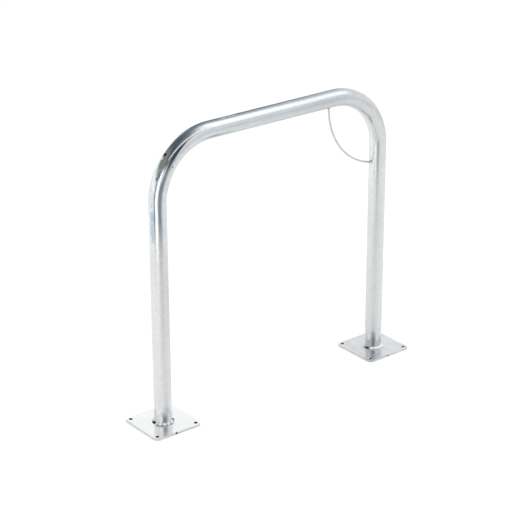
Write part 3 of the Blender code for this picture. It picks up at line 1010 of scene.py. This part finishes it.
def build_stand():
    """Finishes the two packed plates, and puts finer skins over all the other solids."""
    tube = tube_zinc()
    weld = lumpy_zinc("weld_zinc", (0.66, 0.67, 0.67, 1), (0.95, 0.95, 0.95, 1), 0.18)
    rod = lumpy_zinc("rod_zinc", (0.66, 0.66, 0.65, 1), (0.86, 0.86, 0.84, 1), 0.34)
    # Dark zinc for the pimple's dross speck, and painted shade on the collar under the rail
    dark_coat = lumpy_zinc("dross_and_shade_zinc", (0.10, 0.10, 0.10, 1), (0.42, 0.42, 0.41, 1), 0.45)
    rim, fillet = rim_zinc(), bead_zinc()
    # The left plate's tone is painted lighter and the right one's darker, as painted light and
    # shade; each nick and slot has a painted shade colour, dark reddish in the left nick
    left = plate_zinc("left_plate_zinc_painted_lit", -LEG_X, dark=(0.86, 0.86, 0.85, 1),
                      light=(0.95, 0.95, 0.94, 1), nick=(0.07, 0.04, 0.035, 1),
                      slot=PAINTED_HOLLOW_SHADE)
    right = plate_zinc("right_plate_zinc_painted_shade", LEG_X, dark=(0.57, 0.58, 0.59, 1),
                       light=(0.78, 0.79, 0.80, 1), nick=(0.35, 0.33, 0.32, 1),
                       slot=(0.45, 0.45, 0.45, 1))
    dress(hoop_skin(), tube, "galvanised_tube", "hoop_tube")
    dress(zinc_pimple(), dark_coat, "galvanised_tube")
    for name, foot_x, coat, turn, swell in (("left", -LEG_X, left, LEFT_SLOT_TURN, LEFT_SWELL),
                                            ("right", LEG_X, right, RIGHT_SLOT_TURN, RIGHT_SWELL)):
        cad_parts[name + "_base_plate"].material_slots[0].material = coat
        dress(hole_rims(name + "_hole_rims", foot_x), rim, "galvanised_plate")
        for place, quarter in (("front", -1), ("back", 1)):
            bead = foot_bead(f"{name}_{place}_bead", foot_x, turn + quarter * math.pi / 2, swell)
            dress(bead, fillet, "galvanised_weld", f"{name}_foot_weld_{place}")
    dress(rod_eye(), rod, "galvanised_rod", "locking_loop")
    arc_radius, sweep, centre = loop_arc()
    down = np.array([0.0, 0.0, -1.0])
    top = weld_collar("rail_collar", centre - [arc_radius, 0, 0], along_rod=down, off_tube=down,
                      axis_point=np.array([0.0, 0.0, RAIL_Z]), lumps=2)
    # The collar under the rail is painted dark as shade
    dress(top, dark_coat, "galvanised_weld", "loop_rail_weld")
    foot = centre - arc_radius * np.array([math.cos(sweep), 0, math.sin(sweep)])
    up_rod = np.array([-math.sin(sweep), 0.0, math.cos(sweep)])
    low = weld_collar("leg_collar", foot, along_rod=up_rod, off_tube=np.array([-1.0, 0.0, 0.0]),
                      axis_point=np.array([LEG_X, 0.0, 0.0]), lumps=3)
    dress(low, weld, "galvanised_weld", "loop_leg_weld")


def build_studio():
    """Floor, daylight and lamp, then the dome and the cards that the metal mirrors."""
    make_floor()
    set_world()
    make_lamp("key_lamp", (1.45, -0.55, 2.55), (0, 0, 0.5), side=2.2, strength=1.5)
    studio_dome()
    studio_card("softbox", (1.25, -0.478, 2.364), (1.25, 0, 0.8), (3.1, 3.0), (1.38, 1.39, 1.40),
                (0.3, 0.75, 0.64, 0.85))
    studio_card("strip_light", (-0.40, -0.81, 1.745), (-0.56, 0, 0.745), (2.0, 0.42),
                (0.95, 0.96, 0.98), (0.2, 0.2, 0.7, 0.7))
    studio_card("back_flag", (0.6, 0.62, 1.17), (0.6, 0, 0.8), (2.0, 0.7), (0.15, 0.18, 0.22),
                (0.4, 1.2, 0.2, 0.7))
    studio_card("top_flag", (-0.44, -1.05, 1.15), (-0.44, 0, 1.15), (0.62, 1.2), (0.04, 0.05, 0.08),
                (0.4, 0.4, 0.6, 0.3))
    studio_card("upright_light", (-1.19, -0.74, 0.65), (-0.375, 0, 0.65), (0.38, 1.5),
                (1.9, 1.9, 1.9), (0.5, 0.5, 0.1, 0.6))
    studio_card("front_flag", (-0.365, -1.1, 0.40), (-0.365, 0, 0.40), (1.27, 0.9),
                (0.26, 0.28, 0.32), (1.05, 0.15, 0.1, 0.5))
    studio_card("low_flag", (0.012, -0.344, 0.22), (0.375, 0, 0.22), (0.08, 0.5),
                (0.40, 0.41, 0.43), (0.5, 0.5, 0.5, 0.05))
    foot_card("left_foot_flag", -LEG_X, math.radians(-167), 0.56, (0.08, 0.09, 0.10), (0.8, 0.66))
    foot_card("left_foot_light", -LEG_X, math.radians(-107), 0.08, (1.4, 1.4, 1.4), (0.5, 0.5))
    foot_card("right_foot_flag", LEG_X, math.radians(-138), 0.36, (0.08, 0.09, 0.10), (0.6, 0.6))
    studio_card("side_flag", (-1.44, -0.285, 1.1), (-0.375, 0, 1.1), (0.33, 2.3),
                (0.26, 0.27, 0.26), (0.5, 0.3, 0.1, 0.3))


build_stand()
build_studio()
make_camera()
bpy.context.scene.view_settings.view_transform = "Standard"
